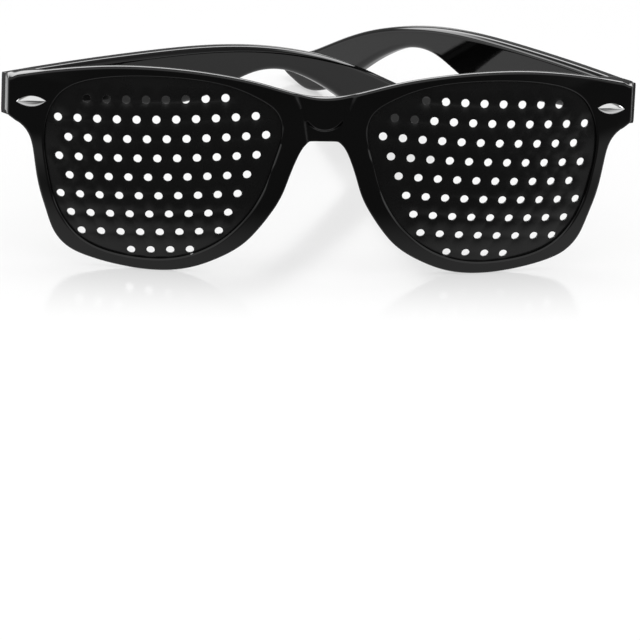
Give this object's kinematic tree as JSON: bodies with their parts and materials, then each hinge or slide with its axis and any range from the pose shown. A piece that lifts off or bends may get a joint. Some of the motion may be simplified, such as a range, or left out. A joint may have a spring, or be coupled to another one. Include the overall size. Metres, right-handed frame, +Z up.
{
  "type": "pinhole glasses",
  "caption": "Folding pinhole glasses: a glossy one-piece front with perforated curved plates in place of lenses and hooked temples on barrel hinges.",
  "frame": {"origin": "middle of the bounding box, on the surface that the rims stand on", "axes": "+X to the wearer's left, +Y from the front back to the wearer, +Z up"},
  "size_m": [0.1494, 0.1366, 0.05],
  "materials": {
    "front_gloss": "polished black moulding",
    "temple_gloss": "polished black moulding",
    "plate_satin": "satin black",
    "hinge_steel": "bright plated steel",
    "stud_chrome": "polished"
  },
  "bodies": {
    "front": {"front_frame": "front_gloss", "pinhole_plate_right": "plate_satin", "pinhole_plate_left": "plate_satin", "front_leaf_right": "hinge_steel", "front_leaf_left": "hinge_steel", "hinge_screw_right": "hinge_steel", "hinge_screw_left": "hinge_steel", "stud_right": "stud_chrome", "stud_left": "stud_chrome"},
    "temple_right_body": {"temple_right": "temple_gloss", "temple_leaf_right": "hinge_steel", "rivet_front_right": "hinge_steel", "rivet_back_right": "hinge_steel"},
    "temple_left_body": {"temple_left": "temple_gloss", "temple_leaf_left": "hinge_steel", "rivet_front_left": "hinge_steel", "rivet_back_left": "hinge_steel"}
  },
  "joints": [
    {"name": "temple_right_hinge", "type": "hinge", "parent": "front", "child": "temple_right_body", "pos_m": [-0.06932, -0.05044, 0.03922], "axis": [0, 0.0767, 0.9971], "range_deg": [-32.5, 4]},
    {"name": "temple_left_hinge", "type": "hinge", "parent": "front", "child": "temple_left_body", "pos_m": [0.06888, -0.05044, 0.03922], "axis": [0, -0.0767, -0.9971], "range_deg": [-4, 29.8]}
  ]
}
